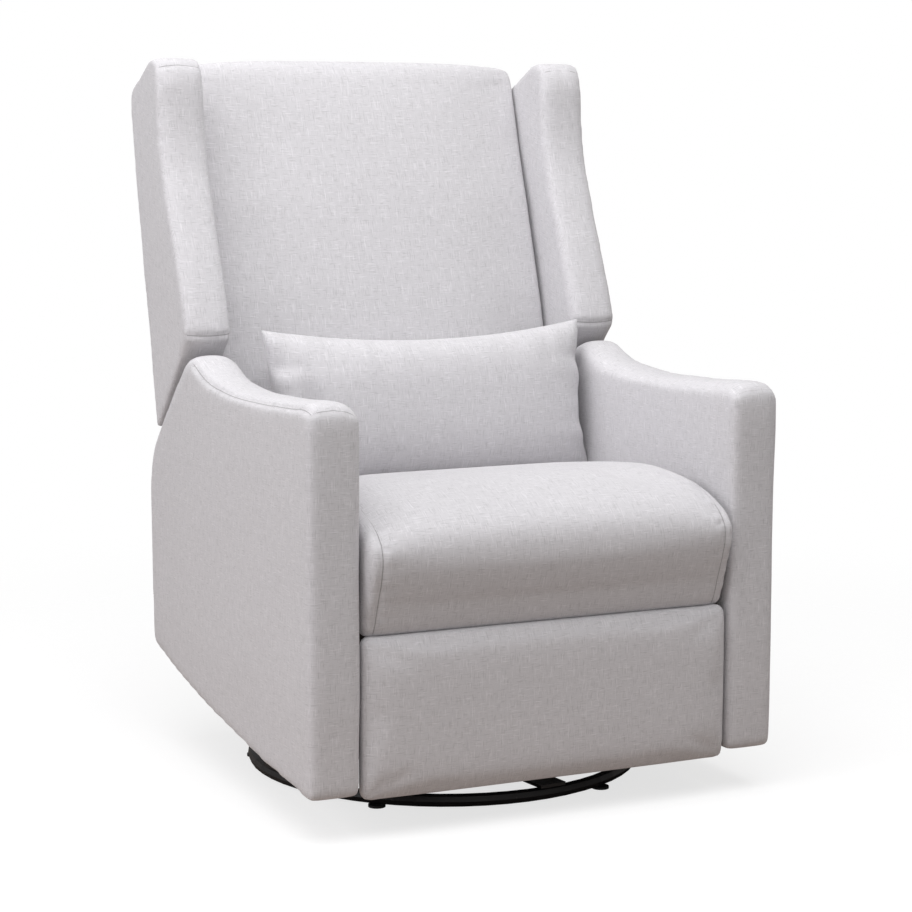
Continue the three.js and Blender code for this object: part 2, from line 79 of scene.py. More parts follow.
# Floor and studio light: a pale floor that fades out into an even white room, a wide soft
# light overhead, one at the left and a weak low one in front. Tops are bright, fronts soft.
def add_node(tree, kind, inputs=None, **settings):
    """A node with its settings; each input is a value, or a socket to link from."""
    node = tree.nodes.new(kind)
    for name, value in settings.items():
        setattr(node, name, value)
    for key, value in (inputs or {}).items():
        if isinstance(value, bpy.types.NodeSocket):
            tree.links.new(value, node.inputs[key])
        else:
            node.inputs[key].default_value = value
    return node


def new_material(name):
    material = bpy.data.materials.new(name)
    material.use_nodes = True
    material.node_tree.nodes.clear()
    return material, material.node_tree


def new_mesh_object(name, points, faces):
    mesh = bpy.data.meshes.new(name)
    mesh.from_pydata([tuple(p) for p in points], [], faces)
    mesh.update()
    piece = bpy.data.objects.new(name, mesh)
    scene.collection.objects.link(piece)
    return piece


def add_floor():
    half = 9.0
    corners = [(-half, -half, 0), (half, -half, 0), (half, half, 0), (-half, half, 0)]
    floor = new_mesh_object("floor", corners, [(0, 1, 2, 3)])
    material, tree = new_material("studio floor")
    place = add_node(tree, "ShaderNodeTexCoord").outputs["Object"]
    reach = add_node(tree, "ShaderNodeVectorMath", {0: place}, operation="LENGTH")
    fade = add_node(
        tree, "ShaderNodeMapRange", {"Value": reach.outputs["Value"], "From Min": 0.7, "From Max": 2.2},
        interpolation_type="SMOOTHSTEP",
    )
    grain = add_node(tree, "ShaderNodeTexNoise", {"Vector": place, "Scale": 40.0, "Detail": 4.0})
    tone = add_node(
        tree, "ShaderNodeMix",
        {"Factor": grain.outputs["Fac"], "A": (0.80, 0.80, 0.80, 1), "B": (0.84, 0.84, 0.84, 1)},
        data_type="RGBA",
    )
    matt = add_node(tree, "ShaderNodeBsdfDiffuse", {"Color": tone.outputs[2]})
    dim = add_node(tree, "ShaderNodeBsdfDiffuse", {"Color": (0.38, 0.32, 0.28, 1)})
    glow = add_node(tree, "ShaderNodeEmission", {"Color": (1, 1, 1, 1), "Strength": 1.2})
    pale = add_node(tree, "ShaderNodeMixShader", {0: 0.6, 1: matt.outputs[0], 2: glow.outputs[0]})
    seen = add_node(tree, "ShaderNodeLightPath").outputs["Is Camera Ray"]
    ground = add_node(tree, "ShaderNodeMixShader", {0: seen, 1: dim.outputs[0], 2: pale.outputs[0]})
    clear = add_node(tree, "ShaderNodeBsdfTransparent")
    mixed = add_node(
        tree, "ShaderNodeMixShader", {0: fade.outputs["Result"], 1: ground.outputs[0], 2: clear.outputs[0]}
    )
    add_node(tree, "ShaderNodeOutputMaterial", {"Surface": mixed.outputs[0]})
    floor.data.materials.append(material)


def add_area_light(name, place, aim, size, watts, colour):
    data = bpy.data.lights.new(name, "AREA")
    data.shape = "RECTANGLE"
    data.size, data.size_y = size
    data.energy = watts
    data.color = colour
    light = bpy.data.objects.new(name, data)
    scene.collection.objects.link(light)
    direction = Vector(place) - Vector(aim)
    light.matrix_world = Matrix.Translation(place) @ direction.to_track_quat("Z", "Y").to_matrix().to_4x4()


def add_room():
    world = bpy.data.worlds.new("studio")
    world.use_nodes = True
    tree = world.node_tree
    tree.nodes.clear()
    air = add_node(tree, "ShaderNodeBackground", {"Color": (1.0, 0.985, 0.97, 1), "Strength": 0.30})
    sight = add_node(tree, "ShaderNodeBackground", {"Color": (1.0, 1.0, 1.0, 1), "Strength": 1.0})
    seen = add_node(tree, "ShaderNodeLightPath").outputs["Is Camera Ray"]
    both = add_node(tree, "ShaderNodeMixShader", {0: seen, 1: air.outputs[0], 2: sight.outputs[0]})
    add_node(tree, "ShaderNodeOutputWorld", {"Surface": both.outputs[0]})
    scene.world = world
    add_area_light("overhead", (-0.4, -0.7, 2.9), (0, 0.1, 0.5), (3.4, 2.8), 91, (0.99, 0.99, 1.0))
    add_area_light("left_side", (-3.3, -0.3, 1.6), (0, 0, 0.6), (1.8, 1.8), 42, (0.98, 0.97, 1.0))
    add_area_light("low_front", (-0.9, -3.4, 0.8), (0, 0, 0.3), (3.0, 0.9), 6, (0.99, 0.98, 1.0))
    scene.view_settings.view_transform = "Standard"


add_floor()
add_room()


# Base: a ring of black powder-coated steel tube on five floor glides, crossed by two flat
# bars that carry a bearing with steel balls, on which the upright frame of the glider turns.
# Plates, links and pins of the glider and of the footrest are the same coated or zinc steel.
def new_group(name, inputs, outputs):
    tree = bpy.data.node_groups.new(name, "ShaderNodeTree")
    for label, kind, value in inputs:
        socket = tree.interface.new_socket(label, in_out="INPUT", socket_type=kind)
        if value is not None:
            socket.default_value = value
    for label, kind in outputs:
        tree.interface.new_socket(label, in_out="OUTPUT", socket_type=kind)
    return tree, tree.nodes.new("NodeGroupInput"), tree.nodes.new("NodeGroupOutput")


def scuffed_coat_group():
    """Fine orange peel, dull patches and light rubbed specks of a coated surface."""
    tree, given, result = new_group(
        "scuffed coat",
        [("Peel Scale", "NodeSocketFloat", 900.0), ("Wear", "NodeSocketFloat", 0.3)],
        [("Height", "NodeSocketFloat"), ("Dullness", "NodeSocketFloat"), ("Rubbed", "NodeSocketFloat")],
    )
    place = add_node(tree, "ShaderNodeTexCoord").outputs["Object"]
    peel = add_node(
        tree, "ShaderNodeTexNoise", {"Vector": place, "Scale": given.outputs["Peel Scale"], "Detail": 2.0}
    )
    patches = add_node(
        tree, "ShaderNodeTexNoise", {"Vector": place, "Scale": 14.0, "Detail": 5.0, "Roughness": 0.6}
    )
    specks = add_node(tree, "ShaderNodeTexNoise", {"Vector": place, "Scale": 160.0, "Detail": 3.0})
    sparse = add_node(
        tree, "ShaderNodeMapRange", {"Value": specks.outputs["Fac"], "From Min": 0.66, "From Max": 0.76}
    )
    rubbed = add_node(
        tree, "ShaderNodeMath", {0: sparse.outputs["Result"], 1: given.outputs["Wear"]}, operation="MULTIPLY"
    )
    tree.links.new(peel.outputs["Fac"], result.inputs["Height"])
    tree.links.new(patches.outputs["Fac"], result.inputs["Dullness"])
    tree.links.new(rubbed.outputs[0], result.inputs["Rubbed"])
    return tree


SCUFFED_COAT = scuffed_coat_group()


def coated_material(name, colour, rubbed_colour, roughness, metallic, peel_scale, peel_depth, wear):
    """Powder coat, plating or moulded plastic: one finish with its own scale of grain and wear."""
    material, tree = new_material(name)
    coat = add_node(tree, "ShaderNodeGroup", node_tree=SCUFFED_COAT)
    coat.inputs["Peel Scale"].default_value = peel_scale
    coat.inputs["Wear"].default_value = wear
    tint = add_node(
        tree, "ShaderNodeMix",
        {"Factor": coat.outputs["Rubbed"], "A": (*colour, 1), "B": (*rubbed_colour, 1)},
        data_type="RGBA",
    )
    dull = add_node(
        tree, "ShaderNodeMapRange",
        {"Value": coat.outputs["Dullness"], "To Min": roughness - 0.08, "To Max": roughness + 0.1},
    )
    bump = add_node(
        tree, "ShaderNodeBump", {"Height": coat.outputs["Height"], "Strength": 0.25, "Distance": peel_depth}
    )
    shine = add_node(
        tree, "ShaderNodeBsdfPrincipled",
        {
            "Base Color": tint.outputs[2], "Roughness": dull.outputs["Result"],
            "Metallic": metallic, "Normal": bump.outputs["Normal"],
        },
    )
    add_node(tree, "ShaderNodeOutputMaterial", {"Surface": shine.outputs[0]})
    return material


black_powder_coat = coated_material(
    "black powder coat", (0.008, 0.008, 0.009), (0.05, 0.05, 0.052), 0.42, 0.0, 1100.0, 0.0003, 0.5
)
zinc_plate = coated_material(
    "zinc plate", (0.42, 0.43, 0.44), (0.62, 0.62, 0.62), 0.38, 1.0, 260.0, 0.0002, 0.6
)
black_moulding = coated_material(
    "black moulding", (0.014, 0.014, 0.015), (0.05, 0.05, 0.05), 0.55, 0.0, 2400.0, 0.0003, 0.15
)


def plywood_material():
    """Birch plywood: long soft grain with darker lines and small pores."""
    material, tree = new_material("birch plywood")
    place = add_node(tree, "ShaderNodeTexCoord").outputs["Object"]
    long = add_node(tree, "ShaderNodeMapping", {"Vector": place, "Scale": (9.0, 150.0, 60.0)})
    grain = add_node(tree, "ShaderNodeTexNoise", {"Vector": long.outputs[0], "Scale": 1.0, "Detail": 5.0})
    tint = add_node(
        tree, "ShaderNodeMix",
        {"Factor": grain.outputs["Fac"], "A": (0.34, 0.21, 0.10, 1), "B": (0.62, 0.44, 0.26, 1)},
        data_type="RGBA",
    )
    bump = add_node(
        tree, "ShaderNodeBump", {"Height": grain.outputs["Fac"], "Strength": 0.3, "Distance": 0.0004}
    )
    shine = add_node(
        tree, "ShaderNodeBsdfPrincipled",
        {"Base Color": tint.outputs[2], "Roughness": 0.72, "Normal": bump.outputs["Normal"]},
    )
    add_node(tree, "ShaderNodeOutputMaterial", {"Surface": shine.outputs[0]})
    return material


birch_plywood = plywood_material()
FINISHES = {
    "black_steel": black_powder_coat,
    "zinc_steel": zinc_plate,
    "button_metal": zinc_plate,
    "black_plastic": black_moulding,
    "timber": birch_plywood,
}
for entry in frame["record"]["subparts"]:
    if entry["material_slot"] in FINISHES:
        coated = frame["nodes"][entry["node"]].data
        coated.materials.clear()
        coated.materials.append(FINISHES[entry["material_slot"]])


# Seat cushion: a foam block under a sewn cover with narrow side boxings. The cover is
# pulled down over the front rail, so its front is one long roll, drawn in at the two seams.
VOXEL = 0.006


def read_points(mesh):
    points = np.empty(len(mesh.vertices) * 3, np.float32)
    mesh.vertices.foreach_get("co", points)
    return points.reshape(-1, 3).astype(float)


def write_points(mesh, points):
    mesh.vertices.foreach_set("co", points.astype(np.float32).ravel())
    mesh.update()


def read_normals(mesh):
    normals = np.empty(len(mesh.vertices) * 3, np.float32)
    mesh.vertex_normals.foreach_get("vector", normals)
    return normals.reshape(-1, 3).astype(float)


def baked(piece):
    """Applies the modifiers of a piece by taking its evaluated mesh."""
    graph = bpy.context.evaluated_depsgraph_get()
    graph.update()
    mesh = bpy.data.meshes.new_from_object(piece.evaluated_get(graph))
    piece.modifiers.clear()
    piece.data = mesh
    return piece


def even_copy(name, node, voxel=VOXEL):
    """A copy of a soft part with an even mesh, which a cover can be shaped on."""
    mesh = frame["nodes"][node].data.copy()
    mesh.materials.clear()
    work = bmesh.new()
    work.from_mesh(mesh)
    bmesh.ops.remove_doubles(work, verts=work.verts, dist=1e-5)
    work.to_mesh(mesh)
    work.free()
    piece = bpy.data.objects.new(name, mesh)
    scene.collection.objects.link(piece)
    remesh = piece.modifiers.new("even", "REMESH")
    remesh.mode = "VOXEL"
    remesh.voxel_size = voxel
    return baked(piece)


def relax(mesh, rounds, points=None):
    """Rounds the edges of an even mesh: each round moves points halfway to their neighbours."""
    edges = np.empty(len(mesh.edges) * 2, np.int32)
    mesh.edges.foreach_get("vertices", edges)
    a, b = edges.reshape(-1, 2).T
    points = read_points(mesh) if points is None else points
    count = np.bincount(np.r_[a, b], minlength=len(points))[:, None]
    for _ in range(rounds):
        total = np.stack(
            [np.bincount(np.r_[a, b], np.r_[points[b, k], points[a, k]], len(points)) for k in range(3)], 1
        )
        points = points + 0.5 * (total / count - points)
    return points


def fit(points, low, high):
    """Stretches points a little so that they fill a box: rounding has drawn them in."""
    least, most = points.min(0), points.max(0)
    low, high = np.array(low), np.array(high)
    return low + (points - least) * (high - low) / (most - least)


def fill_box(piece, low, high):
    write_points(piece.data, fit(read_points(piece.data), low, high))


def smooth_step(value, low, high):
    t = np.clip((value - low) / (high - low), 0, 1)
    return t * t * (3 - 2 * t)


def wander(along, seed):
    """A smooth random wave between -1 and 1 with a step of one unit."""
    values = np.random.default_rng(seed).uniform(-1, 1, 4096)
    cell = np.floor(along).astype(int)
    part = along - cell
    part = part * part * (3 - 2 * part)
    return values[cell % 4096] * (1 - part) + values[(cell + 1) % 4096] * part


def dense(path, step=0.002):
    """Points every 2 mm along a path of corners."""
    path = np.array(path, float)
    found = [path[0]]
    for start, end in zip(path[:-1], path[1:]):
        count = max(1, int(np.linalg.norm(end - start) / step))
        found.extend(start + (end - start) * k / count for k in range(1, count + 1))
    return np.array(found)


def seam_places(points, normals, seams):
    """Distance to the nearest seam, the signed distance across it and the length along it."""
    tree = KDTree(sum(len(s) for s in seams))
    spots, ways, lengths = [], [], []
    offset = 0.0
    for seam in seams:
        way = np.gradient(seam, axis=0)
        way /= np.linalg.norm(way, axis=1)[:, None] + 1e-9
        steps = np.r_[0, np.cumsum(np.linalg.norm(np.diff(seam, axis=0), axis=1))]
        spots.append(seam)
        ways.append(way)
        lengths.append(steps + offset)
        offset += steps[-1] + 0.5
    spots, ways, lengths = np.concatenate(spots), np.concatenate(ways), np.concatenate(lengths)
    for index, spot in enumerate(spots):
        tree.insert(spot, index)
    tree.balance()
    nearest = np.array([tree.find(p)[1] for p in points])
    gap = points - spots[nearest]
    run = (gap * ways[nearest]).sum(1)
    across = (np.cross(ways[nearest], normals) * gap).sum(1)
    apart = np.linalg.norm(gap, axis=1)
    beyond = np.sqrt(np.maximum(apart**2 - across**2, 0))
    return apart, np.where(beyond < 0.006, across, np.sign(across) * apart), lengths[nearest] + run


def swell(piece, held, cap, give=(1.0, 1.0, 1.0), pressure=4.0, frames=20):
    """Lets a cover swell over its foam as cloth under pressure, and caps how far it moves."""
    rest = read_points(piece.data)
    group = piece.vertex_groups.new(name="sewn")
    for index in np.nonzero(held < 0.004)[0]:
        group.add([int(index)], 1.0, "REPLACE")
    cloth = piece.modifiers.new("swell", "CLOTH")
    cloth.settings.quality = 4
    cloth.settings.mass = 0.3
    cloth.settings.use_pressure = True
    cloth.settings.uniform_pressure_force = pressure
    cloth.settings.effector_weights.gravity = 0
    cloth.settings.vertex_group_mass = "sewn"
    cloth.collision_settings.use_collision = False
    cloth.point_cache.frame_start = 1
    cloth.point_cache.frame_end = frames
    for step in range(1, frames + 1):
        scene.frame_set(step)
    graph = bpy.context.evaluated_depsgraph_get()
    moved = read_points(piece.evaluated_get(graph).data)
    piece.modifiers.clear()
    piece.vertex_groups.clear()
    scene.frame_set(1)
    shift = (moved - rest) * np.array(give)
    size = np.linalg.norm(shift, axis=1)[:, None] + 1e-9
    return rest + shift / size * cap * np.tanh(size / cap)


def subdivided(piece):
    finer = piece.modifiers.new("finer", "SUBSURF")
    finer.levels = finer.render_levels = 1
    return baked(piece)


def sew(piece, seams, depth=0.0022, width=0.0055, tuck=0.0009, seed=1):
    """Draws the cover in along its seams, with small tucks that run off them."""
    points, normals = read_points(piece.data), read_normals(piece.data)
    apart, across, along = seam_places(points, normals, seams)
    groove = -depth * np.exp(-((apart / width) ** 2))
    near = np.exp(-apart / 0.016) * smooth_step(apart, 0.001, 0.008)
    tucks = tuck * near * wander(along / 0.011 + np.sign(across) * 211.3, seed)
    write_points(piece.data, points + normals * (groove + tucks)[:, None])
    mark_seams(piece, across, along)


def mark_seams(piece, across, along):
    for label, values in (("seam_across", across), ("seam_along", along)):
        attribute = piece.data.attributes.new(label, "FLOAT", "POINT")
        attribute.data.foreach_set("value", values.astype(np.float32))


def map_weave(piece, lean=0.0):
    """A map in metres whose threads run level and upright on each side of a piece."""
    mesh = piece.data
    points = read_points(mesh)
    up = np.array((0, math.sin(lean), math.cos(lean)))
    back = np.array((0, math.cos(lean), -math.sin(lean)))
    local = np.stack([points[:, 0], points @ back, points @ up], 1)
    corners = np.empty(len(mesh.loops), np.int32)
    mesh.loops.foreach_get("vertex_index", corners)
    sizes = np.empty(len(mesh.polygons), np.int32)
    mesh.polygons.foreach_get("loop_total", sizes)
    facing = np.empty(len(mesh.polygons) * 3, np.float32)
    mesh.polygons.foreach_get("normal", facing)
    facing = facing.reshape(-1, 3)
    turned_way = np.abs(np.stack([facing[:, 0], facing @ back, facing @ up], 1))
    side = np.repeat(turned_way.argmax(1), sizes)
    spot = local[corners]
    level = np.where(side == 0, spot[:, 1], spot[:, 0])
    upright = np.where(side == 2, spot[:, 1], spot[:, 2])
    uv = mesh.uv_layers.new(name="weave")
    uv.data.foreach_set("uv", np.stack([level, upright], 1).astype(np.float32).ravel())


def linen_weave_group():
    """Plain weave of slubby yarn: thread relief, thick yarns both ways and soft mottling, with a tone that is
    paler on the thread crowns and painted shade in the dips between threads.
    """
    tree, given, result = new_group(
        "linen weave",
        [("Vector", "NodeSocketVector", None), ("Pitch", "NodeSocketFloat", 0.0013)],
        [("Height", "NodeSocketFloat"), ("Tone", "NodeSocketFloat")],
    )
    place = given.outputs["Vector"]
    drift = add_node(tree, "ShaderNodeTexNoise", {"Vector": place, "Scale": 70.0, "Detail": 2.0})
    shift = add_node(
        tree, "ShaderNodeVectorMath", {0: drift.outputs["Color"], 1: (0.0016, 0.0016, 0.0)},
        operation="MULTIPLY",
    )
    moved = add_node(tree, "ShaderNodeVectorMath", {0: place, 1: shift.outputs[0]}, operation="ADD")
    apart = add_node(tree, "ShaderNodeSeparateXYZ", {0: moved.outputs[0]})

    def maths(operation, first, second=None, third=None):
        values = {0: first}
        if second is not None:
            values[1] = second
        if third is not None:
            values[2] = third
        return add_node(tree, "ShaderNodeMath", values, operation=operation).outputs[0]

    pitch = given.outputs["Pitch"]
    u, v = (maths("DIVIDE", apart.outputs[k], pitch) for k in (0, 1))
    warp, weft = (maths("ABSOLUTE", maths("SINE", maths("MULTIPLY", t, math.pi))) for t in (u, v))
    cell = maths("ADD", maths("FLOOR", u), maths("FLOOR", v))
    over = maths("PINGPONG", cell, 1.0)
    raised_warp = maths("MULTIPLY", warp, maths("MULTIPLY_ADD", weft, 0.5, 0.5))
    raised_weft = maths("MULTIPLY", weft, maths("MULTIPLY_ADD", warp, 0.5, 0.5))
    threads = add_node(tree, "ShaderNodeMix", {"Factor": over, "A": raised_warp, "B": raised_weft}).outputs[0]

    def slubs(scale, low, high, seed):
        stretched = add_node(
            tree, "ShaderNodeMapping",
            {"Vector": moved.outputs[0], "Scale": scale, "Location": (seed, seed, 0)},
        )
        noise = add_node(
            tree, "ShaderNodeTexNoise", {"Vector": stretched.outputs[0], "Scale": 1.0, "Detail": 1.5}
        )
        return add_node(
            tree, "ShaderNodeMapRange", {"Value": noise.outputs["Fac"], "From Min": low, "From Max": high},
            interpolation_type="SMOOTHSTEP",
        ).outputs["Result"]

    level = slubs((55, 520, 1), 0.56, 0.74, 3.1)
    upright = slubs((520, 45, 1), 0.56, 0.74, 8.7)
    thin_level = slubs((70, 640, 1), 0.56, 0.72, 17.3)
    thin_upright = slubs((640, 60, 1), 0.56, 0.72, 27.9)
    thick = maths("MAXIMUM", level, upright)
    thin = maths("MAXIMUM", thin_level, thin_upright)
    clouds = add_node(tree, "ShaderNodeTexNoise", {"Vector": place, "Scale": 22.0, "Detail": 4.0})
    mottle = clouds.outputs["Fac"]
    tone = maths("MULTIPLY_ADD", thick, 0.16, 0.90)
    tone = maths("MULTIPLY_ADD", thin, -0.17, tone)
    # The tone follows the thread relief: paler crowns and painted shade in the dips between threads.
    tone = maths("MULTIPLY_ADD", threads, 0.14, tone)
    tone = maths("MULTIPLY_ADD", mottle, 0.04, tone)
    height = maths("MULTIPLY_ADD", thick, 0.55, threads)
    height = maths("MULTIPLY_ADD", thin, -0.2, height)
    tree.links.new(height, result.inputs["Height"])
    tree.links.new(tone, result.inputs["Tone"])
    return tree


def seam_line_group():
    """The dark crease of a seam as painted shade, with the pull of each stitch showing in it."""
    tree, given, result = new_group(
        "seam line",
        [("Width", "NodeSocketFloat", 0.0011), ("Pitch", "NodeSocketFloat", 0.0045)],
        [("Crease Shade", "NodeSocketFloat"), ("Stitch", "NodeSocketFloat")],
    )
    across = add_node(tree, "ShaderNodeAttribute", attribute_name="seam_across").outputs["Fac"]
    along = add_node(tree, "ShaderNodeAttribute", attribute_name="seam_along").outputs["Fac"]
    apart = add_node(tree, "ShaderNodeMath", {0: across}, operation="ABSOLUTE").outputs[0]
    edge = add_node(
        tree, "ShaderNodeMapRange",
        {"Value": apart, "From Min": 0.0, "From Max": given.outputs["Width"], "To Min": 1.0, "To Max": 0.0},
        interpolation_type="SMOOTHSTEP",
    ).outputs["Result"]
    turns = add_node(tree, "ShaderNodeMath", {0: along, 1: given.outputs["Pitch"]}, operation="DIVIDE")
    pull = add_node(tree, "ShaderNodeMath", {0: turns.outputs[0], 1: 1.0}, operation="PINGPONG").outputs[0]
    wide = add_node(
        tree, "ShaderNodeMapRange",
        {"Value": apart, "From Min": 0.0008, "From Max": 0.0035, "To Min": 1.0, "To Max": 0.0},
    ).outputs["Result"]
    stitch = add_node(tree, "ShaderNodeMath", {0: pull, 1: wide}, operation="MULTIPLY").outputs[0]
    tree.links.new(edge, result.inputs["Crease Shade"])
    tree.links.new(stitch, result.inputs["Stitch"])
    return tree


LINEN_WEAVE = linen_weave_group()
SEAM_LINE = seam_line_group()


def linen_material(name, colour, shaded_colour):
    """Pale linen-look upholstery cloth, with painted shade along its seams where a piece has them."""
    material, tree = new_material(name)
    place = add_node(tree, "ShaderNodeUVMap", uv_map="weave").outputs["UV"]
    weave = add_node(tree, "ShaderNodeGroup", {"Vector": place}, node_tree=LINEN_WEAVE)
    weave.inputs["Pitch"].default_value = 0.0013
    seam = add_node(tree, "ShaderNodeGroup", node_tree=SEAM_LINE)
    seam.inputs["Width"].default_value = 0.0013
    seam.inputs["Pitch"].default_value = 0.0045
    cloth = add_node(
        tree, "ShaderNodeMix",
        {"Factor": 1.0, "A": (*colour, 1), "B": weave.outputs["Tone"]},
        data_type="RGBA", blend_type="MULTIPLY",
    )
    # The seam crease is mixed towards the shaded colour: painted shade in the fold of each seam.
    crease_shade = add_node(tree, "ShaderNodeMath", {0: seam.outputs["Crease Shade"], 1: 0.72}, operation="MULTIPLY")
    tint = add_node(
        tree, "ShaderNodeMix",
        {"Factor": crease_shade.outputs[0], "A": cloth.outputs[2], "B": (*shaded_colour, 1)},
        data_type="RGBA",
    )
    relief = add_node(
        tree, "ShaderNodeBump", {"Height": weave.outputs["Height"], "Strength": 0.5, "Distance": 0.0003}
    )
    stitched = add_node(
        tree, "ShaderNodeBump",
        {
            "Height": seam.outputs["Stitch"], "Strength": 0.5, "Distance": 0.0006,
            "Normal": relief.outputs["Normal"],
        },
    )
    shine = add_node(
        tree, "ShaderNodeBsdfPrincipled",
        {
            "Base Color": tint.outputs[2], "Roughness": 0.92, "Normal": stitched.outputs["Normal"],
            "Sheen Weight": 0.25, "Sheen Roughness": 0.6, "Specular IOR Level": 0.2,
        },
    )
    add_node(tree, "ShaderNodeOutputMaterial", {"Surface": shine.outputs[0]})
    return material


# The second colour is the painted shade laid into the seam creases.
linen = linen_material("pale linen cloth", (0.60, 0.588, 0.606), (0.15, 0.14, 0.14))


def finish_cover(piece, body, nodes, lean=0.0):
    """The last steps of every sewn piece: cloth, smooth shading, its body and what it stands for."""
    map_weave(piece, lean)
    if "seam_across" not in piece.data.attributes:
        plain = np.ones(len(piece.data.vertices))
        mark_seams(piece, plain, plain)
    piece.data.materials.clear()
    piece.data.materials.append(linen)
    piece.data.polygons.foreach_set("use_smooth", np.ones(len(piece.data.polygons), bool))
    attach(piece, body)
    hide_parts(*nodes)


def bend(points, start, *steps):
    """Adds a line, or a curve with one or two control points, from start; 14 points a curve."""
    for step in steps:
        controls = [np.array(start, float), *(np.array(p, float) for p in step)]
        if len(controls) == 2:
            points.append(tuple(controls[1]))
        else:
            for k in range(1, 15):
                row = controls
                while len(row) > 1:
                    row = [a + (b - a) * k / 14 for a, b in zip(row[:-1], row[1:])]
                points.append(tuple(row[0]))
        start = points[-1]
    return points


def slab(name, outline, x_low, x_high, voxel=VOXEL):
    """A solid of one outline between two upright planes, given an even mesh."""
    work = bmesh.new()
    face = work.faces.new([work.verts.new((x_low, y, z)) for y, z in outline])
    grown = bmesh.ops.extrude_face_region(work, geom=[face])
    moved = [v for v in grown["geom"] if isinstance(v, bmesh.types.BMVert)]
    bmesh.ops.translate(work, verts=moved, vec=(x_high - x_low, 0, 0))
    bmesh.ops.recalc_face_normals(work, faces=work.faces)
    bmesh.ops.triangulate(work, faces=work.faces)
    mesh = bpy.data.meshes.new(name)
    work.to_mesh(mesh)
    work.free()
    piece = bpy.data.objects.new(name, mesh)
    scene.collection.objects.link(piece)
    remesh = piece.modifiers.new("even", "REMESH")
    remesh.mode = "VOXEL"
    remesh.voxel_size = voxel
    return baked(piece)


ARM_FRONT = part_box("arm_left")[0].y


def seat_outline():
    """The side view of the cushion with the lip that wraps the front rail, from the arm fronts back."""
    points = bend(
        [(0.046, 0.287)], (0.046, 0.287),
        [(0.026, 0.284)],
        [(0.014, 0.284), (0.010, 0.300), (-0.002, 0.340)],
        [(-0.012, 0.368), (-0.020, 0.392)],
        [(-0.032, 0.436), (0.010, 0.476), (0.110, 0.486)],
        [(0.190, 0.489), (0.300, 0.470)],
        [(0.380, 0.455), (0.420, 0.443)],
        [(0.500, 0.432)],
        [(0.524, 0.434), (0.524, 0.420)],
        [(0.522, 0.336)],
        [(0.046, 0.336)],
    )
    return [(ARM_FRONT + s, z) for s, z in points[:-1]] + [(ARM_FRONT + 0.046, 0.336)]


def make_seat_cushion():
    low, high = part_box("seat_cushion")
    half = high.x - 0.0005
    piece = slab("seat_cover", seat_outline(), -half, half, voxel=0.0072)
    points = read_points(piece.data)
    rise = smooth_step(points[:, 2], low.z + 0.09, high.z)
    front = smooth_step(-points[:, 1], -(low.y + 0.12), -low.y)
    edge = np.clip(np.abs(points[:, 0]) / half, 0, 1)
    points[:, 2] -= 0.020 * rise * edge**8
    points[:, 1] += 0.008 * front * rise * edge**8
    points = relax(piece.data, 5, points)
    write_points(piece.data, points)
    inset = 0.019
    line = [cushion_edge(points, side * (half - inset), low, high) for side in (-1, 1)]
    held, _, _ = seam_places(points, read_normals(piece.data), line)
    under = points[:, 2] < low.z + 0.045
    held = np.where(under | (points[:, 1] > high.y - 0.02), 0.0, held)
    write_points(piece.data, swell(piece, held, 0.004, give=(0.15, 1.0, 1.0)))
    write_points(piece.data, relax(piece.data, 2))
    subdivided(piece)
    fill_box(piece, (-half, low.y - 0.010, low.z - 0.004), (half, high.y, high.z + 0.001))
    points = read_points(piece.data)
    line = [cushion_edge(points, side * (half - inset), low, high) for side in (-1, 1)]
    sew(piece, line, depth=0.003, tuck=0.0012, seed=5)
    gather_corner(piece, half - inset, low)
    finish_cover(piece, "chair", ["seat_cushion"])


def gather_corner(piece, seam_x, low):
    """Three short tucks beside each seam, where the cover turns from the top into the front."""
    points, normals = read_points(piece.data), read_normals(piece.data)
    inward = seam_x - np.abs(points[:, 0])
    beside = smooth_step(inward, 0.001, 0.004) * (1 - smooth_step(inward, 0.006, 0.020))
    front = 1 - smooth_step(points[:, 1], low.y + 0.05, low.y + 0.10)
    for level, run in ((0.451, -0.30), (0.437, -0.10), (0.420, 0.45)):
        height = points[:, 2] - level + run * inward
        points -= normals * (0.0017 * beside * front * np.exp(-((height / 0.0032) ** 2)))[:, None]
    write_points(piece.data, points)


def cushion_edge(points, x, low, high):
    """The line over the front and top of a cushion at one distance from its middle."""
    near = points[np.abs(points[:, 0] - x) < 0.006]
    centre = np.array(((low.y + high.y) / 2, low.z + 0.05))
    turn = np.arctan2(near[:, 2] - centre[1], near[:, 1] - centre[0])
    reach = np.hypot(near[:, 2] - centre[1], near[:, 1] - centre[0])
    found = []
    for step in np.radians(np.arange(192, 20, -1.5)):
        off = np.abs((turn - step + math.pi) % (2 * math.pi) - math.pi)
        close = off < math.radians(2.2)
        if close.any():
            outermost = reach[close].max()
            found.append((x, centre[0] + outermost * math.cos(step), centre[1] + outermost * math.sin(step)))
    return dense(found)


make_seat_cushion()


# Arms: a plywood board wrapped in foam and cloth. The top panel runs in one piece over
# the arm and down its inner face. It is seamed to the outer side panel and to the front panel.
def arm_outline():
    """The side view of an arm, in metres back from its front and up from the floor."""
    points = [(0.014, 0.064)]
    bend(
        points, points[0],
        [(0.380, 0.084), (0.674, 0.152)],
        [(0.690, 0.156), (0.691, 0.172)],
        [(0.696, 0.370)],
        [(0.697, 0.440), (0.690, 0.474), (0.646, 0.513)],
        [(0.530, 0.616)],
        [(0.505, 0.640), (0.484, 0.635)],
        [(0.450, 0.622), (0.430, 0.610), (0.360, 0.606)],
        [(0.280, 0.599), (0.180, 0.603), (0.040, 0.613)],
        [(0.000, 0.614), (0.000, 0.590)],
        [(0.000, 0.078)],
        [(0.000, 0.064), (0.013, 0.064)],
    )
    return [(ARM_FRONT + s, z) for s, z in points]


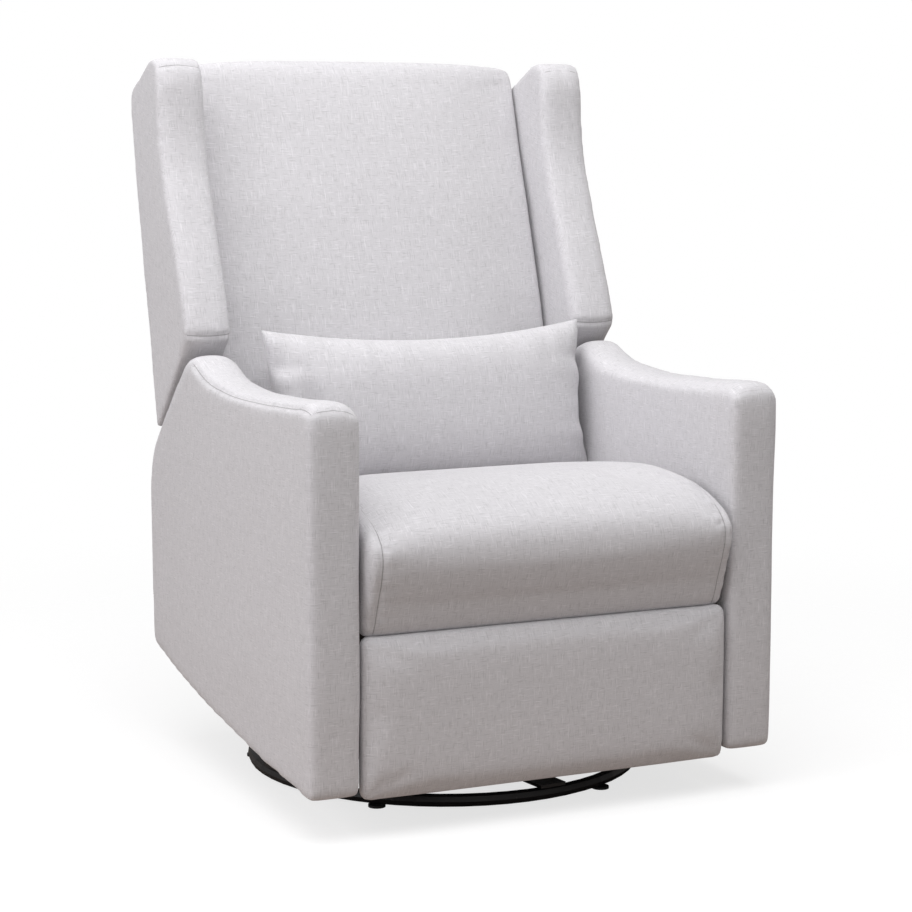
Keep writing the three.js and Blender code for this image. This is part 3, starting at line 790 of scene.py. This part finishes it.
def arm_top_line():
    """The top edge of an arm from its crest to its front corner."""
    points = bend(
        [(0.476, 0.632)], (0.476, 0.632),
        [(0.450, 0.622), (0.430, 0.610), (0.360, 0.606)],
        [(0.280, 0.600), (0.180, 0.604), (0.040, 0.613)],
        [(0.010, 0.6145), (0.002, 0.611)],
    )
    return [(ARM_FRONT + s, z) for s, z in points]


def crown(piece, amount, seed):
    """The slow unevenness of cloth over foam."""
    points, normals = read_points(piece.data), read_normals(piece.data)
    waves = wander(points[:, 1] / 0.09 + 50, seed) + wander(points[:, 2] / 0.11 + 50, seed + 1)
    waves += 0.6 * wander((points[:, 1] + points[:, 2]) / 0.06 + 70, seed + 2)
    write_points(piece.data, points + normals * (waves * amount / 2)[:, None])


def make_arm(name, side):
    low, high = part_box(f"arm_{name}")
    inner, outer = sorted((low.x, high.x), key=abs)
    middle = (inner + outer) / 2
    half = abs(outer - inner) / 2
    piece = slab(f"arm_cover_{name}", arm_outline(), min(inner, outer), max(inner, outer))
    points = relax(piece.data, 4)
    across = (points[:, 0] - middle) * side / half
    back = points[:, 1] - ARM_FRONT
    top = smooth_step(points[:, 2], 0.585, 0.612)
    inner_roll = np.clip(-across, 0, 1)
    outer_roll = np.clip(across, 0, 1)
    points[:, 2] -= top * (0.014 * inner_roll**2.4 + 0.008 * outer_roll**3)
    points[:, 2] += top * 0.006
    face = smooth_step(-back, -0.03, 0.0)
    points[:, 1] += face * 0.003 * np.abs(across) ** 4
    write_points(piece.data, relax(piece.data, 3, points))
    subdivided(piece)
    fill_box(piece, low, (high.x, high.y, high.z + 0.004))
    drop, set_in = 0.004, 0.003
    side_x = outer - side * set_in
    top_seam = [(side_x, y, z - drop) for y, z in arm_top_line()]
    corner = top_seam[-1]
    arch = []
    for k in range(17):
        t = k / 16
        x = outer - side * (set_in + t * (2 * half - 0.008))
        arch.append((x, ARM_FRONT + 0.002, corner[2] + 0.007 * math.sin(math.pi * t) ** 0.8 - 0.003 * t))
    seams = [dense(top_seam), dense(arch)]
    crown(piece, 0.0016, 41 if side < 0 else 42)
    sew(piece, seams, depth=0.0024, tuck=0.0010, seed=11 if side < 0 else 12)
    if side < 0:
        clear_control_plate(piece)
    finish_cover(piece, "chair", [f"arm_{name}"])


def clear_control_plate(piece):
    """Lets the cloth down around the plate of the buttons, so the plate stands on it."""
    low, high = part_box("control_plate")
    points = read_points(piece.data)
    margin = 0.004
    y_off = np.maximum(np.maximum(low.y - points[:, 1], points[:, 1] - high.y), 0)
    z_off = np.maximum(np.maximum(low.z - points[:, 2], points[:, 2] - high.z), 0)
    off = np.hypot(y_off, z_off)
    inner = points[:, 0] > low.x - 0.02
    limit = low.x - 0.001 + smooth_step(off, margin, 0.022) * 0.02
    points[:, 0] = np.where(inner, np.minimum(points[:, 0], limit), points[:, 0])
    write_points(piece.data, points)


make_arm("left", -1)
make_arm("right", 1)


# Rear panel: cloth pulled over a stiff panel between the arms, stapled underneath.
def make_rear_panel():
    piece = even_copy("rear_panel_cover", "rear_panel", 0.004)
    write_points(piece.data, relax(piece.data, 2))
    finish_cover(piece, "chair", ["rear_panel"])


make_rear_panel()


# Footrest: a board with a foam face, under a cover pulled round to its rear and stapled
# there. The cloth is gathered at the four corners, and the lower edge is softly rounded.
def make_footrest_pad():
    low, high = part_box("footrest_pad")
    piece = even_copy("footrest_cover", "footrest_pad", 0.005)
    points = read_points(piece.data)
    middle_z = (low.z + high.z) / 2
    half_x, half_z = high.x, (high.z - low.z) / 2
    across = np.clip(np.abs(points[:, 0]) / half_x, 0, 1)
    up = np.clip(np.abs(points[:, 2] - middle_z) / half_z, 0, 1)
    front = smooth_step(-points[:, 1], -(low.y + 0.02), -low.y)
    points[:, 1] += front * (0.007 * across**10 + 0.009 * up**6)
    write_points(piece.data, relax(piece.data, 3, points))
    points = read_points(piece.data)
    held = np.where(points[:, 1] > low.y + 0.024, 0.0, 1.0)
    write_points(piece.data, swell(piece, held, 0.0025, give=(0.2, 1.0, 0.3), pressure=2.5))
    write_points(piece.data, relax(piece.data, 4))
    subdivided(piece)
    fill_box(piece, (low.x - 0.002, low.y - 0.001, low.z - 0.001), (high.x + 0.002, high.y, high.z + 0.003))
    points, normals = read_points(piece.data), read_normals(piece.data)
    for side in (-1, 1):
        for level, lean in ((high.z, -1), (low.z, 1)):
            corner = np.array((side * half_x, low.y + 0.014, level))
            gap = points - corner
            apart = np.linalg.norm(gap, axis=1)
            turn = np.arctan2(gap[:, 2], gap[:, 0] * side)
            fold = np.cos(turn * 9.0 + lean) * np.exp(-apart / 0.016) * 0.0008
            points += normals * fold[:, None]
    write_points(piece.data, points)
    finish_cover(piece, "footrest_panel", ["footrest_pad"])


make_footrest_pad()


# Back: a deep foam cushion on a plywood board, crowned across and up, between two wings.
BACK_LEAN = math.radians(13.39)
BACK_HEEL_S, BACK_HEEL_Z = 0.650, 0.513


def back_place(points):
    """Up along the back and forward from its rear face, for every point."""
    s = points[:, 1] - ARM_FRONT - BACK_HEEL_S
    z = points[:, 2] - BACK_HEEL_Z
    up = s * math.sin(BACK_LEAN) + z * math.cos(BACK_LEAN)
    forward = -s * math.cos(BACK_LEAN) + z * math.sin(BACK_LEAN)
    return up, forward


FORWARD = np.array((0, -math.cos(BACK_LEAN), math.sin(BACK_LEAN)))
UPWARD = np.array((0, math.sin(BACK_LEAN), math.cos(BACK_LEAN)))


def make_back_cushion():
    low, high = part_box("back_cushion")
    half = high.x
    piece = even_copy("back_cover", "back_cushion", 0.007)
    points = read_points(piece.data)
    up, forward = back_place(points)
    across = np.clip(np.abs(points[:, 0]) / half, 0, 1)
    thick = smooth_step(forward, 0.03, 0.09)
    points -= FORWARD * (thick * 0.030 * across**3.2)[:, None]
    crest = smooth_step(up, 0.50, 0.58)
    points -= UPWARD * (crest * 0.010 * across**4)[:, None]
    write_points(piece.data, relax(piece.data, 8, points))
    points = read_points(piece.data)
    _, forward = back_place(points)
    held = np.where((forward < 0.036) | (across > 0.97), 0.0, 1.0)
    swollen = swell(piece, held, 0.012, give=(0.1, 1.0, 1.0))
    wide = half + 0.002
    write_points(piece.data, fit(swollen, (-wide, low.y, low.z), (wide, high.y, high.z + 0.004)))
    subdivided(piece)
    finish_cover(piece, "back", ["back_cushion"], lean=-BACK_LEAN)


make_back_cushion()


# Wings: padded cheeks screwed to the sides of the back. The front face is one long panel
# that ends in a cross seam below the rounded top and another along its cut-off lower edge.
def wing_outline():
    """The side view of a wing: straight rear edge, rounded top, S-curved front, cut-off foot."""
    points = bend(
        [(0.650, 0.513)], (0.650, 0.513),
        [(0.7693, 1.014)],
        [(0.774, 1.046), (0.744, 1.056)],
        [(0.668, 1.092)],
        [(0.642, 1.102), (0.624, 1.084), (0.620, 1.050)],
        [(0.616, 0.960), (0.606, 0.935), (0.572, 0.858)],
        [(0.545, 0.800), (0.515, 0.735), (0.499, 0.684)],
        [(0.495, 0.669), (0.505, 0.661)],
    )
    return [(ARM_FRONT + s, z) for s, z in points]


def make_wing(name, side):
    low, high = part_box(f"wing_{name}")
    inner, outer = sorted((low.x, high.x), key=abs)
    middle, half = (inner + outer) / 2, abs(outer - inner) / 2
    piece = slab(f"wing_cover_{name}", wing_outline(), low.x, high.x, voxel=0.005)
    points = read_points(piece.data)
    _, forward = back_place(points)
    across = (points[:, 0] - middle) * side / half
    face = smooth_step(forward, 0.02, 0.16)
    points += FORWARD * (face * (0.003 - 0.007 * np.abs(across) ** 4))[:, None]
    write_points(piece.data, relax(piece.data, 7, points))
    subdivided(piece)
    fill_box(piece, low, high)
    points = read_points(piece.data)
    seams = []
    for level, bow in ((high.z - 0.012, 0.004), (0.6705, -0.002)):
        near = points[(np.abs(points[:, 2] - level) < 0.008) & (points[:, 1] < (low.y + high.y) / 2 + 0.06)]
        line = []
        for k in range(17):
            t = k / 16
            x = outer - side * (0.005 + t * (2 * half - 0.010))
            z = level + bow * math.sin(math.pi * t)
            close = near[np.abs(near[:, 0] - x) < 0.009]
            y = close[:, 1].min() if len(close) else near[:, 1].min()
            line.append((x, y + 0.001, z))
        seams.append(dense(line))
    crown(piece, 0.0016, 51 if side < 0 else 52)
    sew(piece, seams, depth=0.0024, tuck=0.0012, seed=21 if side < 0 else 22)
    finish_cover(piece, "back", [f"wing_{name}"], lean=-BACK_LEAN)


make_wing("left", -1)
make_wing("right", 1)


# Rear cover: cloth drawn over the back of the board and tucked in beside the wings.
def make_rear_cover():
    piece = even_copy("back_rear_cloth", "back_rear_cover", 0.005)
    write_points(piece.data, relax(piece.data, 2))
    finish_cover(piece, "back", ["back_rear_cover"], lean=-BACK_LEAN)


make_rear_cover()


# Lumbar pillow: two panels sewn edge to edge around loose filling, so it swells in the
# middle, its edges are drawn in and gathered, and its corners stand out as ears.
def make_pillow():
    low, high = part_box("lumbar_pillow")
    columns, rows = 72, 32
    centre = (Vector(low) + Vector(high)) / 2 + Vector((0.0085, 0, -0.018))
    half_x = (high.x - low.x) / 2 + 0.009
    height = 0.254
    lean = math.radians(-10)
    points, faces = [], []
    index = {}
    for face_side in (-1, 1):
        for j in range(rows + 1):
            for i in range(columns + 1):
                border = i in (0, columns) or j in (0, rows)
                if border and face_side > 0:
                    index[face_side, i, j] = index[-1, i, j]
                    continue
                u, v = 2 * i / columns - 1, 2 * j / rows - 1
                bulge = 0.012 * (1 - u * u) * (1 - v * v)
                index[face_side, i, j] = len(points)
                points.append((u * half_x, face_side * bulge, v * height / 2))
    for face_side in (-1, 1):
        for j in range(rows):
            for i in range(columns):
                ring = [(i, j), (i + 1, j), (i + 1, j + 1), (i, j + 1)]
                corners = [index[face_side, *spot] for spot in ring]
                faces.append(corners if face_side < 0 else corners[::-1])
    piece = new_mesh_object("pillow_cover", points, faces)
    rest = read_points(piece.data)
    wide, tall = rest[:, 0] / half_x, rest[:, 2] / (height / 2)
    depth_front, depth_back = 0.062, 0.060
    dome = (np.clip(1 - wide**4, 0, 1) * np.clip(1 - np.abs(tall) ** 2.6, 0, 1)) ** 0.62
    full = rest.copy()
    sign = np.sign(rest[:, 1])
    full[:, 1] = sign * np.where(sign < 0, depth_front, depth_back) * dome
    drawn = np.where(tall > 0, 0.027, 0.002)
    pull_z = drawn * (1 - wide**2) * np.abs(tall) ** 3 * np.sign(tall)
    pull_x = 0.014 * (1 - tall**2) * np.abs(wide) ** 5 * np.sign(wide)
    full[:, 2] -= pull_z
    full[:, 0] -= pull_x
    edge_z = np.exp(-(1 - np.abs(tall)) * 3.2) * (1 - wide**8)
    edge_x = np.exp(-(1 - np.abs(wide)) * 9.0) * (1 - tall**8)
    gather = wander(wide * 14 + 60 + sign * 3, 31) * edge_z * 0.006
    gather += wander(tall * 6 + 90 + sign, 33) * edge_x * 0.009
    full[:, 1] += gather * np.where(sign == 0, 0.4, sign)
    dent = np.exp(-(((wide + 0.79 + 0.06 * tall) / 0.05) ** 2) - ((tall + 0.15) / 0.45) ** 2)
    full[:, 1] += 0.012 * dent * (sign < 0)
    full[:, 0] += 0.005 * wander(tall * 5 + 40, 35) * edge_x * (wide > 0)
    turned_y = full[:, 1] * math.cos(lean) - full[:, 2] * math.sin(lean)
    turned_z = full[:, 1] * math.sin(lean) + full[:, 2] * math.cos(lean)
    placed = np.stack([full[:, 0] + centre.x, turned_y + centre.y, turned_z + centre.z + 0.004], 1)
    write_points(piece.data, placed)
    for _ in range(2):
        subdivided(piece)
    finish_cover(piece, "pillow", ["lumbar_pillow"])


make_pillow()
